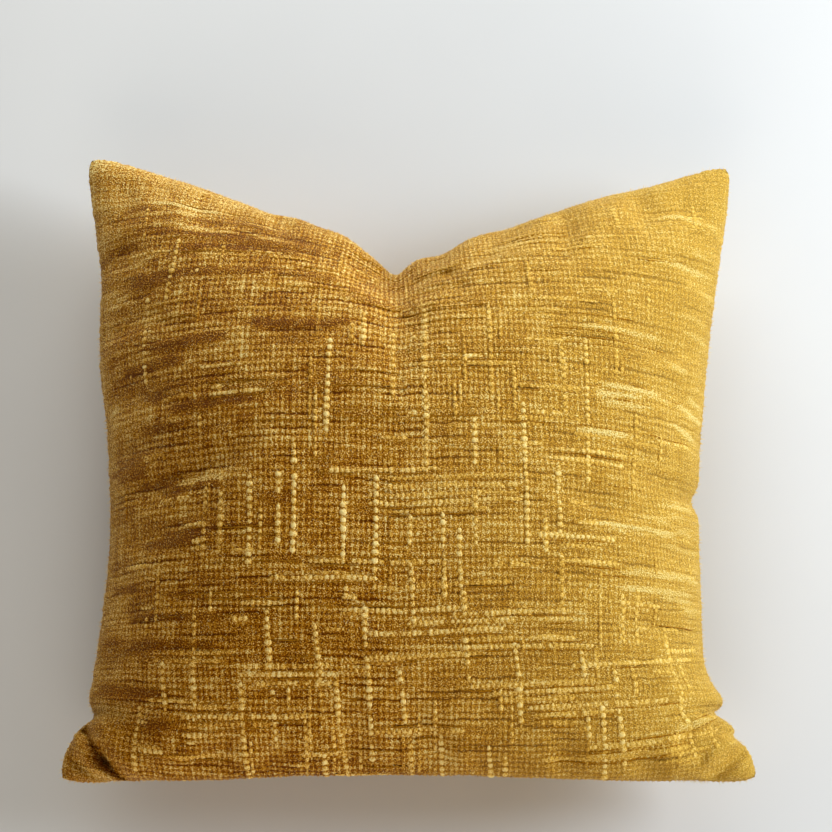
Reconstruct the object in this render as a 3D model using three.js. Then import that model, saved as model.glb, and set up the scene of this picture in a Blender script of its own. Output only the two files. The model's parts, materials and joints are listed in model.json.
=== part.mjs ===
// A square cushion in heavy chenille, filled, with a notch pressed into its top edge. It lies on its back.
// X runs to the right, Y towards the notched edge and Z out of the front panel.
// The origin is on the floor, below the middle of the cushion. Sizes are in millimetres.
import * as THREE from "three";

// Heights, from the floor that the back rests on
const SEAM_HEIGHT = 58;
const CORNER_DROP = 8;
const FRONT_CROWN = 88;
const BACK_DEPTH = 78;

// Fullness: a power below 1 makes the panels leave the seam steeply, and a large roundness keeps
// the crown broad and full nearly to that edge. The filling has settled, so the lower part is rounder.
const STEEPNESS = 0.6;
const SIDE_ROUNDNESS = 2.5;
const SIDE_SETTLING = 0.6;
const TOP_ROUNDNESS = 2.2;
const BOTTOM_ROUNDNESS = 3.2;

// The corner tips are turned and poked out, so they are rounded: the share of half a side that is cut
// off, and how close to the corner the rounding stays
const TIP_CUT = 0.022;
const TIP_CLOSENESS = 24;

// How fast each edge's own line fades towards the middle of the panels, as powers
const NOTCH_FADE = 4;
const BOTTOM_FADE = 2;
const SIDE_FADE = 3;
const NICK_FADE = 16;

// Uneven puckers that the seam draws into the panels. A second wave, weaker and closer, breaks up the
// first, and the phase sets the edges apart.
const PUCKER_RISE = 1.8;
const PUCKER_REACH = 26;
const PUCKER_PITCH = 47;
const SECOND_WAVE = 0.6;
const SECOND_TURNS = 1.73;
const END_PHASE = 3;

// How steeply puckers and creases rise from nothing at the seam, against the fullness there
const PUCKER_ONSET = 4;
const CREASE_ONSET = 8;

// Cells along each side of a panel, and how much smaller they get towards the seam, from 0 to 1
const CELLS = 54;
const CELL_GRADING = 0.5;

// The seam line, one edge at a time. Corners are given where the two edges would meet unrounded.
const TOP_LEFT = { x: -227, y: 221 };
const TOP_RIGHT = { x: 226, y: 215 };
const BOTTOM_LEFT = { x: -233, y: -217 };
const BOTTOM_RIGHT = { x: 233, y: -216 };
const BOTTOM_SEAM = [
  BOTTOM_LEFT,
  { x: -170, y: -212 },
  { x: -90, y: -204 },
  { x: 0, y: -202 },
  { x: 100, y: -205 },
  { x: 180, y: -213 },
  BOTTOM_RIGHT,
];
const TOP_SEAM = [
  TOP_LEFT,
  { x: -180, y: 205 },
  { x: -133, y: 188 },
  { x: -100, y: 173 },
  { x: -66, y: 149 },
  { x: -42, y: 137 },
  { x: -24, y: 122 },
  { x: -10, y: 111 },
  { x: 4, y: 121 },
  { x: 27, y: 139 },
  { x: 64, y: 159 },
  { x: 124, y: 182 },
  { x: 176, y: 197 },
  TOP_RIGHT,
];
const LEFT_SEAM = [
  BOTTOM_LEFT,
  { x: -225, y: -196 },
  { x: -212, y: -172 },
  { x: -209, y: -156 },
  { x: -204, y: -118 },
  { x: -199, y: -58 },
  { x: -202, y: 6 },
  { x: -210, y: 74 },
  { x: -212, y: 136 },
  TOP_LEFT,
];
const RIGHT_SEAM = [
  BOTTOM_RIGHT,
  { x: 224, y: -198 },
  { x: 213, y: -180 },
  { x: 206, y: -162 },
  { x: 195, y: -142 },
  { x: 193, y: -110 },
  { x: 193, y: -30 },
  { x: 197, y: 28 },
  { x: 206, y: 96 },
  { x: 213, y: 140 },
  TOP_RIGHT,
];

// Small nicks where the cloth is drawn in at a side, -1 for the left and 1 for the right
const NICKS = [
  { side: -1, y: -173, halfWidth: 6, inward: 6 },
  { side: 1, y: -186, halfWidth: 4, inward: 4 },
  { side: 1, y: -171, halfWidth: 5, inward: 10 },
  { side: 1, y: -30, halfWidth: 8, inward: 5 },
];

// Where the front panel rolls out over the seam. Along an edge, middle and halfLength are shares
// of half the edge. The roll is widest at its crest, that far from the seam along the cloth.
const ROLLS = [
  { edge: -1, middle: 0, halfLength: 1, rollOut: 20, crest: 10 },
  { edge: 1, middle: -0.17, halfLength: 0.32, rollOut: 15, crest: 10 },
  { edge: 1, middle: 0.15, halfLength: 0.2, rollOut: 5, crest: 9 },
];

// Soft troughs (rise below 0) and ridges (rise above 0) of the front panel, each along a straight line
const CREASES = [
  { fromX: -213, fromY: -182, toX: -199, toY: -199, halfWidth: 4, rise: -13 },
  { fromX: -199, fromY: -199, toX: -180, toY: -210, halfWidth: 4, rise: -11 },
  { fromX: -196, fromY: -186, toX: -176, toY: -202, halfWidth: 9, rise: 5 },
  { fromX: -217, fromY: -192, toX: -202, toY: -204, halfWidth: 3, rise: 4 },
  { fromX: -202, fromY: -204, toX: -186, toY: -212, halfWidth: 3, rise: 3 },
  { fromX: -222, fromY: -200, toX: -200, toY: -211, halfWidth: 4, rise: -6 },
  { fromX: 214, fromY: -172, toX: 186, toY: -180, halfWidth: 5, rise: 4 },
  { fromX: 208, fromY: -180, toX: 176, toY: -188, halfWidth: 5, rise: -5 },
  { fromX: 219, fromY: -186, toX: 196, toY: -198, halfWidth: 4, rise: 5 },
  { fromX: 221, fromY: -195, toX: 198, toY: -207, halfWidth: 6, rise: -7 },
  { fromX: 226, fromY: -204, toX: 206, toY: -212, halfWidth: 4, rise: 3 },
  { fromX: 190, fromY: -30, toX: 166, toY: -26, halfWidth: 9, rise: -4 },
  { fromX: -208, fromY: -172, toX: -186, toY: -168, halfWidth: 8, rise: -3 },
  { fromX: -30, fromY: 112, toX: -12, toY: 104, halfWidth: 12, rise: -7 },
  { fromX: -8, fromY: 116, toX: -6, toY: 84, halfWidth: 14, rise: -5 },
  { fromX: 4, fromY: 108, toX: 26, toY: 112, halfWidth: 4, rise: -4 },
  { fromX: 26, fromY: 112, toX: 54, toY: 126, halfWidth: 4, rise: -3 },
  { fromX: 8, fromY: 98, toX: 34, toY: 101, halfWidth: 5, rise: -3 },
];

const clothColour = new THREE.Color(0.62, 0.42, 0.12);
const clothRoughness = 0.95;
const clothMetalness = 0;

function curveThrough(points) {
  return new THREE.SplineCurve(points.map((point) => new THREE.Vector2(point.x, point.y)));
}

const bottomCurve = curveThrough(BOTTOM_SEAM);
const topCurve = curveThrough(TOP_SEAM);
const leftCurve = curveThrough(LEFT_SEAM);
const rightCurve = curveThrough(RIGHT_SEAM);
const halfHeight = (TOP_LEFT.y - BOTTOM_LEFT.y) / 2;

// The four corners blended by shares of the way across and up
function betweenCorners(across, up) {
  const low = new THREE.Vector2(BOTTOM_LEFT.x, BOTTOM_LEFT.y);
  low.lerp(new THREE.Vector2(BOTTOM_RIGHT.x, BOTTOM_RIGHT.y), across);
  const high = new THREE.Vector2(TOP_LEFT.x, TOP_LEFT.y);
  high.lerp(new THREE.Vector2(TOP_RIGHT.x, TOP_RIGHT.y), across);
  return low.lerp(high, up);
}

// Where a point of the cloth lies in plan. u and v run from -1 to 1 across and up the panel.
function planPoint(u, v) {
  const across = (1 + u * (1 - TIP_CUT * Math.abs(v) ** TIP_CLOSENESS)) / 2;
  const up = (1 + v * (1 - TIP_CUT * Math.abs(u) ** TIP_CLOSENESS)) / 2;
  const straight = betweenCorners(across, up);
  const left = leftCurve.getPointAt(up).sub(betweenCorners(0, up));
  const right = rightCurve.getPointAt(up).sub(betweenCorners(1, up));
  const bottom = bottomCurve.getPointAt(across).sub(betweenCorners(across, 0));
  const top = topCurve.getPointAt(across).sub(betweenCorners(across, 1));
  straight.addScaledVector(left, (1 - across) ** SIDE_FADE);
  straight.addScaledVector(right, across ** SIDE_FADE);
  straight.addScaledVector(bottom, (1 - up) ** BOTTOM_FADE);
  straight.addScaledVector(top, up ** NOTCH_FADE);
  for (const nick of NICKS) {
    const fade = ((1 + nick.side * u) / 2) ** NICK_FADE;
    const depth = nick.inward * Math.exp(-(((straight.y - nick.y) / nick.halfWidth) ** 2));
    straight.x -= nick.side * depth * fade;
  }
  return straight;
}

// 0 at the seam and 1 at the crown
function fullness(u, v) {
  const endRoundness = v < 0 ? BOTTOM_ROUNDNESS : TOP_ROUNDNESS;
  const acrossPart = 1 - Math.abs(u) ** (SIDE_ROUNDNESS - SIDE_SETTLING * v);
  const upPart = 1 - Math.abs(v) ** endRoundness;
  return (acrossPart * upPart) ** STEEPNESS;
}

// A broad smooth hump, 1 at 0 and 0 from 1 on
function hump(x) {
  const inside = Math.max(0, 1 - x ** 4);
  return inside * inside;
}

function rollOut(u, v) {
  let out = 0;
  for (const roll of ROLLS) {
    const fromSeam = halfHeight * (1 - roll.edge * v) / roll.crest;
    const along = hump((u - roll.middle) / roll.halfLength);
    out += roll.edge * roll.rollOut * along * fromSeam * Math.exp(1 - fromSeam);
  }
  return out;
}

function distanceToCrease(x, y, crease) {
  const alongX = crease.toX - crease.fromX;
  const alongY = crease.toY - crease.fromY;
  const share = ((x - crease.fromX) * alongX + (y - crease.fromY) * alongY) / (alongX ** 2 + alongY ** 2);
  const nearest = THREE.MathUtils.clamp(share, 0, 1);
  return Math.hypot(x - crease.fromX - nearest * alongX, y - crease.fromY - nearest * alongY);
}

function creaseRise(x, y) {
  let rise = 0;
  for (const crease of CREASES) {
    rise += crease.rise * Math.exp(-((distanceToCrease(x, y, crease) / crease.halfWidth) ** 2));
  }
  return rise;
}

// Puckers run inwards from the seam, with uneven spacing, and die out over the reach
function pucker(u, v, x, y) {
  const fromSide = halfHeight * (1 - Math.abs(u));
  const fromEnd = halfHeight * (1 - Math.abs(v));
  const wave = (place, phase) => {
    const turn = (2 * Math.PI * place) / PUCKER_PITCH;
    return Math.sin(turn + phase) + SECOND_WAVE * Math.sin(SECOND_TURNS * turn + 2 * phase);
  };
  const sideWave = wave(y, Math.sign(u)) * Math.exp(-fromSide / PUCKER_REACH);
  const endWave = wave(x, END_PHASE * Math.sign(v)) * Math.exp(-fromEnd / PUCKER_REACH);
  return PUCKER_RISE * (sideWave + endWave);
}

function seamHeight(u, v) {
  return SEAM_HEIGHT - CORNER_DROP * u * u * v * v;
}

function frontPoint(u, v) {
  const plan = planPoint(u, v);
  const full = fullness(u, v);
  const creases = Math.min(1, CREASE_ONSET * full) * creaseRise(plan.x, plan.y);
  const puckers = Math.min(1, PUCKER_ONSET * full) * pucker(u, v, plan.x, plan.y);
  const height = seamHeight(u, v) + FRONT_CROWN * full + creases + puckers;
  return new THREE.Vector3(plan.x, plan.y + rollOut(u, v), height);
}

// The back bulges too, but the floor presses it flat
function backPoint(u, v) {
  const plan = planPoint(u, v);
  const full = fullness(u, v);
  const puckers = Math.min(1, PUCKER_ONSET * full) * pucker(-u, v, plan.x, plan.y);
  const height = seamHeight(u, v) - BACK_DEPTH * full + puckers;
  return new THREE.Vector3(plan.x, plan.y, Math.max(0, height));
}

// Places of the grid lines from -1 to 1, closer together near the seam
function gridLine(index) {
  const even = (2 * index) / CELLS - 1;
  return (1 - CELL_GRADING) * even + CELL_GRADING * Math.sin((Math.PI / 2) * even);
}

function cushionGeometry() {
  const positions = [];
  const faces = [];
  const onRim = (column, row) => column === 0 || row === 0 || column === CELLS || row === CELLS;
  const addVertex = (point) => positions.push(point.x, point.y, point.z) / 3 - 1;
  const front = [];
  const back = [];
  for (let row = 0; row <= CELLS; row += 1) {
    front.push([]);
    back.push([]);
    for (let column = 0; column <= CELLS; column += 1) {
      const u = gridLine(column);
      const v = gridLine(row);
      front[row].push(addVertex(frontPoint(u, v)));
      back[row].push(onRim(column, row) ? front[row][column] : addVertex(backPoint(u, v)));
    }
  }
  for (let row = 0; row < CELLS; row += 1) {
    for (let column = 0; column < CELLS; column += 1) {
      for (const [grid, flipped] of [[front, false], [back, true]]) {
        const corners = [
          grid[row][column],
          grid[row][column + 1],
          grid[row + 1][column + 1],
          grid[row + 1][column],
        ];
        if (flipped) corners.reverse();
        faces.push(corners[0], corners[1], corners[2], corners[0], corners[2], corners[3]);
      }
    }
  }
  const geometry = new THREE.BufferGeometry();
  geometry.setAttribute("position", new THREE.Float32BufferAttribute(positions, 3));
  geometry.setIndex(faces);
  geometry.computeBoundingBox();
  const middle = geometry.boundingBox.getCenter(new THREE.Vector3());
  geometry.translate(-middle.x, -middle.y, 0);
  geometry.computeVertexNormals();
  return geometry;
}

const cloth = new THREE.MeshStandardMaterial({
  color: clothColour,
  roughness: clothRoughness,
  metalness: clothMetalness,
});
const cushion = new THREE.Mesh(cushionGeometry(), cloth);
cushion.name = "cushion";

const part = new THREE.Group();
part.name = "cushion_cover";
part.add(cushion);

export default part;
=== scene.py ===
# Looks of the chenille cushion: the cover's two panels with their woven relief, and the raised yarns on them.
# Sizes are in millimetres in the row frame, as the solid's source has them, and meshes are made in metres.
import json
import math

import bpy
import numpy as np
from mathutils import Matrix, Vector

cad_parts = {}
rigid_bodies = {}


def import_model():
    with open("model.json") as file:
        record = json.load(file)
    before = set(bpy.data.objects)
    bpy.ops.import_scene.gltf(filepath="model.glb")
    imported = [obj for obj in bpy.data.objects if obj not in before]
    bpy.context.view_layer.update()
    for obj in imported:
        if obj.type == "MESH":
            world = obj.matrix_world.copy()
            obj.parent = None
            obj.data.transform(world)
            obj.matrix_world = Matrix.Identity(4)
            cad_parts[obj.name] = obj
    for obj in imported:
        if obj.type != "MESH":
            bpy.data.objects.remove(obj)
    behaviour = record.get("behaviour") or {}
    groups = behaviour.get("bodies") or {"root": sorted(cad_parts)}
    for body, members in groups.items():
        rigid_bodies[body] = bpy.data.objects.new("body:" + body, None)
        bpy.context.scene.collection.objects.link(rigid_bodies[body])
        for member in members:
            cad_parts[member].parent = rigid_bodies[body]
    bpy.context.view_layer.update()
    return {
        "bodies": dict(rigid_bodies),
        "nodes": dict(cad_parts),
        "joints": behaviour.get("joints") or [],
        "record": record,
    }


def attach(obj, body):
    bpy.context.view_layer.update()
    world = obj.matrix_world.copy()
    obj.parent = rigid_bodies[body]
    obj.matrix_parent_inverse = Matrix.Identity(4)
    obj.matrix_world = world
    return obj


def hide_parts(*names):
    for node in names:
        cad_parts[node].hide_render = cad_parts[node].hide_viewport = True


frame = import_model()

MM = 0.001

# The form, with the same sizes as the solid
SEAM_HEIGHT = 58
CORNER_DROP = 8
FRONT_CROWN = 88
BACK_DEPTH = 78
STEEPNESS = 0.6
SIDE_ROUNDNESS = 2.5
SIDE_SETTLING = 0.6
TOP_ROUNDNESS = 2.2
BOTTOM_ROUNDNESS = 3.2
TIP_CUT = 0.022
TIP_CLOSENESS = 24
NOTCH_FADE = 4
BOTTOM_FADE = 2
SIDE_FADE = 3
NICK_FADE = 16
PUCKER_RISE = 1.8
PUCKER_REACH = 26
PUCKER_PITCH = 47
SECOND_WAVE = 0.6
SECOND_TURNS = 1.73
END_PHASE = 3
PUCKER_ONSET = 4
CREASE_ONSET = 8

# The seam line of each edge, as (x, y)
TOP_LEFT = (-227, 221)
TOP_RIGHT = (226, 215)
BOTTOM_LEFT = (-233, -217)
BOTTOM_RIGHT = (233, -216)
BOTTOM_SEAM = [BOTTOM_LEFT, (-170, -212), (-90, -204), (0, -202), (100, -205), (180, -213), BOTTOM_RIGHT]
TOP_SEAM = [
    TOP_LEFT, (-180, 205), (-133, 188), (-100, 173), (-66, 149), (-42, 137), (-24, 122), (-10, 111),
    (4, 121), (27, 139), (64, 159), (124, 182), (176, 197), TOP_RIGHT,
]
LEFT_SEAM = [
    BOTTOM_LEFT, (-225, -196), (-212, -172), (-209, -156), (-204, -118), (-199, -58), (-202, 6),
    (-210, 74), (-212, 136), TOP_LEFT,
]
RIGHT_SEAM = [
    BOTTOM_RIGHT, (224, -198), (213, -180), (206, -162), (195, -142), (193, -110), (193, -30),
    (197, 28), (206, 96), (213, 140), TOP_RIGHT,
]
# Nicks in the sides: side, y, half width, depth
NICKS = [(-1, -173, 6, 6), (1, -186, 4, 4), (1, -171, 5, 10), (1, -30, 8, 5)]
# Rolls of the front panel out over the seam: edge, middle, half length, roll, crest
ROLLS = [(-1, 0, 1, 20, 10), (1, -0.17, 0.32, 15, 10), (1, 0.15, 0.2, 5, 9)]
# Creases of the front panel: from x, from y, to x, to y, half width, rise
CREASES = [
    (-213, -182, -199, -199, 4, -13),
    (-199, -199, -180, -210, 4, -11),
    (-196, -186, -176, -202, 9, 5),
    (-217, -192, -202, -204, 3, 4),
    (-202, -204, -186, -212, 3, 3),
    (-222, -200, -200, -211, 4, -6),
    (214, -172, 186, -180, 5, 4),
    (208, -180, 176, -188, 5, -5),
    (219, -186, 196, -198, 4, 5),
    (221, -195, 198, -207, 6, -7),
    (226, -204, 206, -212, 4, 3),
    (190, -30, 166, -26, 9, -4),
    (-208, -172, -186, -168, 8, -3),
    (-30, 112, -12, 104, 12, -7),
    (-8, 116, -6, 84, 14, -5),
    (4, 108, 26, 112, 4, -4),
    (26, 112, 54, 126, 4, -3),
    (8, 98, 34, 101, 5, -3),
]

# The cloth: half the sewn width, the beads of its base weave, and how much its rows widen upwards
HALF_CLOTH = 225
BEADS_ACROSS = 132
BEADS_UP = 100
BEAD_WIDTH = 2 * HALF_CLOTH / BEADS_ACROSS
BEAD_HEIGHT = 2 * HALF_CLOTH / BEADS_UP
ROW_SPREAD = 0.13
# Mesh cells of a bead, the mesh's columns and rows, and the weft that each line of the mesh is nearest to
CELLS_ACROSS = 2
CELLS_UP = 3
COLUMNS = CELLS_ACROSS * BEADS_ACROSS
ROWS = CELLS_UP * BEADS_UP
WEFT_OF_ROW = (np.arange(ROWS + 1) + 1) // CELLS_UP
# The relief of the weave: height of its beads, level of the ground among them, and how it grows at the rim
BEAD_RELIEF = 0.7
BEAD_LEVEL = 0.4
BETWEEN_BEADS = 0.5
FUZZ_HEIGHT = 0.14
RIM_FADE = 5
RIM_BUMP = 0.5
# The drift of light and height along each yarn of the weave: its reach and spread, the play that keeps a
# yarn's end short of its last knot, and the bands of wefts that drift alike
DRIFT_REACH = 26
DRIFT_SPREAD = 1.1
KNOT_PLAY = 0.001
BAND_ROWS = 3
WEFT_MIX = 0.75
WEFT_RELIEF = 0.14
# Where the weave looks smooth: at its low wefts, near the top and side seams, and towards the right
SMOOTH_FROM = -0.7
MOST_SMOOTH = 0.55
SMOOTH_ONSET = 1.5
SMOOTH_RIM = 42
SMOOTH_SIDE = 60
# Shifts of tone: by weft, warp and bead; painted shade darkening the left, where less light falls; a painted
# highlight below the top seam, where light falls on the roll; calmer rightwards, painted flatter where lit
WEFT_TONE = 0.045
WARP_TONE = 0.045
BEAD_TONE = 0.06
LEFT_PAINTED_SHADE = 0.07
TOP_PAINTED_HIGHLIGHT = 0.11
TOP_REACH = 56
TOP_RISE = 16
TOP_FADE = 200
CALM_FROM = -90
CALM_TO = 70
CALM = 0.45
# The grooves between some wefts of the weave, sunk in the relief and darkened with painted shade, and the
# smooth floats
GROOVE_PAINTED_SHADE = 0.42
GROOVE_DEPTH = 0.5
GROOVE_SHARE = 0.35
GROOVE_FADE = 30
FLOAT_RELIEF = 0.35
FLOAT_RAGGED = 8
FLOAT_FADE = 8
FLOAT_EDGE = 6
FLOAT_TONE = 0.7
# The cloth as it settles round its filling: a coarser grid, by so many cells of the cover's own, that starts
# a little slack and swells under pressure with its seam held. What it moves is capped and evened out
CLOTH_STEP = 4
START_FULLNESS = 0.93
FRAMES = 20
CLOTH_SETTINGS = {
    "quality": 8, "mass": 0.4, "tension_stiffness": 15, "compression_stiffness": 10, "shear_stiffness": 5,
    "bending_stiffness": 1.0, "shrink_min": -0.03, "use_pressure": True, "uniform_pressure_force": 4,
    "vertex_group_mass": "held",
}
BROAD_STEPS = 60
BROAD_SHARE = 0.2
BUCKLE_SHARE = 0.8
MOST_MOVED = 6
SMOOTH_STEPS = 10
GROUND_STEPS = 4
SEAM_HOLD = 45
# Yarns that lie on the weave. A ring goes round one: share of its half width, of its height and of its light,
# the light lower on its flanks and beneath as painted shade
RING = np.array([
    (-1, 0, 0.55), (-0.8, 0.6, 0.8), (-0.42, 0.93, 1), (0, 1, 1),
    (0.42, 0.93, 1), (0.8, 0.6, 0.8), (1, 0, 0.55), (0, -0.5, 0),
])
THIN_RING = np.array([(-1, 0, 1), (0, 1, 1), (1, 0, 1), (0, -0.5, 1)])
SINK = 0.3
YARN_FUZZ = 0.15
# A beaded yarn: how it wanders, swells from bead to bead, sinks here and there and tapers at its ends
STATIONS_A_BEAD = 4
FEWEST_STEPS = 4
WANDER_REACHES = (23, 11, 5.3)
BEAD_WANDER = 0.12
SINKING = 0.3
SINKING_REACH = 6.5
ANY_PHASE = 6
MISSING_BEADS = 0.06
MISSING_SIZE = 0.45
LEAST_LIGHT = 0.7
LEAST_SIZE = 0.75
SIZE_SPREAD = 0.35
LEAST_WIDTH = 0.4
END_SIZE = 0.3
# Form of a warp and of a weft: height, share of it left between two beads, and how sharply beads swell
WARP_FORM = (1.3, 0.12, 0.8)
WEFT_FORM = (1.0, 0.35, 0.6)
WARP_LIGHT = 1.12
WARP_HALF_WIDTH = 2.5
WEFT_HALF_WIDTH = 2.2
WEFT_GAP = 2.55
# The painted shadow of a groove: a thin dark strip laid in it
GROOVE_STEP = 2.2
GROOVE_WANDER = 0.18
GROOVE_HALF_WIDTH = 0.58
GROOVE_HEIGHT = 0.7
GROOVE_TAPER = 6
GROOVE_END = 0.1
GROOVE_UNEVEN = 0.3
GROOVE_WAVE = 3.7
# Weaker yarns at random: counts on the front and their share on the back, and lengths, lights and slopes
MINOR_WEFTS = 120
MINOR_WARPS = 70
MINOR_GROOVES = 40
BACK_SHARE = 0.35
MINOR_REACH = 205
MINOR_WEFT_LENGTH = (4, 42)
MINOR_WARP_LENGTH = (5, 46)
MINOR_GROOVE_LENGTH = (14, 60)
MINOR_LIGHT = (0.45, 0.85)
MINOR_HALF_WIDTH = 1.8
MINOR_SLOPE = 0.01
DASHES = 0.2
DASH_BEADS = 2
# The pile: how many fibres, how long, how thick at the root, how far they lean and how light they are
FIBRES = 41000
FIBRES_BEHIND = 8000
BEHIND_SPREAD = 12
FIBRE_SIDES = 3
FIBRE_LENGTH = (0.8, 2.2)
FIBRE_RADIUS = 0.18
FIBRE_LEAN = 0.9
LEAST_RISE = 0.4
SKEW_DIRECTION = (0.31, 0.52, 0.79)
FIBRE_LIGHT = (0.25, 1)
# Near the rim the fibres are longer, and lighter as a painted highlight along the outline
LONGER_RIM = 9
LONGER_PILE = 0.8
RIM_PAINTED_HIGHLIGHT = 0.25
SEED = 7

# Thick warp yarns on the front, as chains of beads: from s, from t, to s, to t, light, length of a bead
WARP_YARNS = [
    (-49.5, 63, -51, -3, 0.95, 5.1), (-39.8, -35, -40, -84, 1.0, 5.1), (-38, -96, -38, -106, 0.9, 4.4),
    (-19.5, -28, -20, -93, 1.0, 5.1), (12, 92, 12, -27, 0.8, 5.0), (-8.5, 73, -8.5, 20, 0.7, 5.0),
    (2, -52, 1.5, -76, 0.95, 5.0), (2.5, -81, 4.8, -120, 0.85, 4.6), (22, -51, 22.4, -75, 1.0, 5.0),
    (22.8, -76, 24, -104, 0.75, 4.6), (32.5, -61, 33.6, -98, 0.95, 4.8), (34.8, -98, 36.4, -114, 0.85, 4.4),
    (36.4, -125, 38, -150, 0.85, 4.2), (42.5, 9, 42.5, -24, 0.9, 4.6), (42, -37, 43, -73, 0.7, 4.6),
    (54, 90, 54, 22, 0.65, 4.8), (74, 20, 75.2, -78, 0.95, 4.6), (95.5, -20, 95.8, -66, 0.85, 4.6),
    (86.5, -50, 86.8, -77, 0.85, 4.6), (96.5, -76, 97, -113, 0.6, 4.6), (115.8, 66, 115.5, -33, 0.75, 4.6),
    (144, 192, 147, 164, 0.7, 4.6), (109, -131, 110.5, -148, 0.95, 4.4), (112, -160, 113.6, -184, 0.9, 4.2),
    (121.5, -162, 125, -212, 0.95, 4.2), (129.5, -142, 136.5, -202, 0.95, 4.4),
    (61, -190, 62, -212, 0.8, 4.2), (148.5, -93, 148.8, -128, 0.7, 4.4), (171.5, -115, 174, -137, 0.6, 4.4),
    (-87, -110, -86, -148, 0.85, 4.3), (-85, -154, -82.5, -192, 0.9, 4.3),
    (-134.8, -139, -134, -173, 0.85, 4.4), (-154.5, -139, -154, -168, 0.75, 4.4),
    (-105, -150, -101, -212, 0.8, 4.3), (-54, -186, -52, -213, 0.85, 4.2), (-99, -28, -99, -88, 0.85, 4.8),
    (-80.5, -22, -80.8, -75, 0.9, 5.1), (-71, -8, -71.2, -80, 0.95, 5.1), (-118, -24, -118, -76, 0.65, 4.8),
    (-128.5, -34, -129, -82, 0.65, 4.6), (-57, -118, -55, -152, 0.8, 4.2), (-55, -155, -53, -175, 0.6, 4.2),
    (-26.5, -107, -22.5, -198, 0.9, 4.1), (-45.5, -145, -43.5, -176, 0.8, 4.1),
    (-43, -178, -38, -212, 0.75, 4.1), (-5.2, -142, -1.6, -173, 0.95, 4.1), (0, -176, 2.5, -212, 0.75, 4.1),
    (20.5, -179, 22, -214, 0.9, 4.1), (67, -127, 71, -175, 0.9, 4.2), (51, -184, 53, -214, 0.95, 4.1),
    (-28, 87, -28, 58, 0.8, 5.0), (-36, 76, -36, 60, 0.6, 5.0), (-156, 146, -160, 95, 0.75, 5.0),
    (-174, 102, -174, 38, 0.8, 4.8), (-108, 73, -108, 54, 0.65, 4.8), (-172.5, -165, -172, -212, 0.75, 4.2),
    (137.5, -97, 138.5, -128, 0.75, 4.4), (172, -125, 182, -200, 0.8, 4.4),
    (183, -138, 184.5, -160, 0.65, 4.4), (118, -131, 118.6, -148, 0.65, 4.4),
    (142, -140, 143.4, -160, 0.65, 4.4), (196, -180, 199, -204, 0.65, 4.4), (82, 128, 83, 96, 0.6, 4.8),
    (100, 60, 100.5, 12, 0.6, 4.8), (136, 96, 136, 44, 0.6, 4.8), (150, 20, 150, -34, 0.6, 4.6),
]
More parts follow.
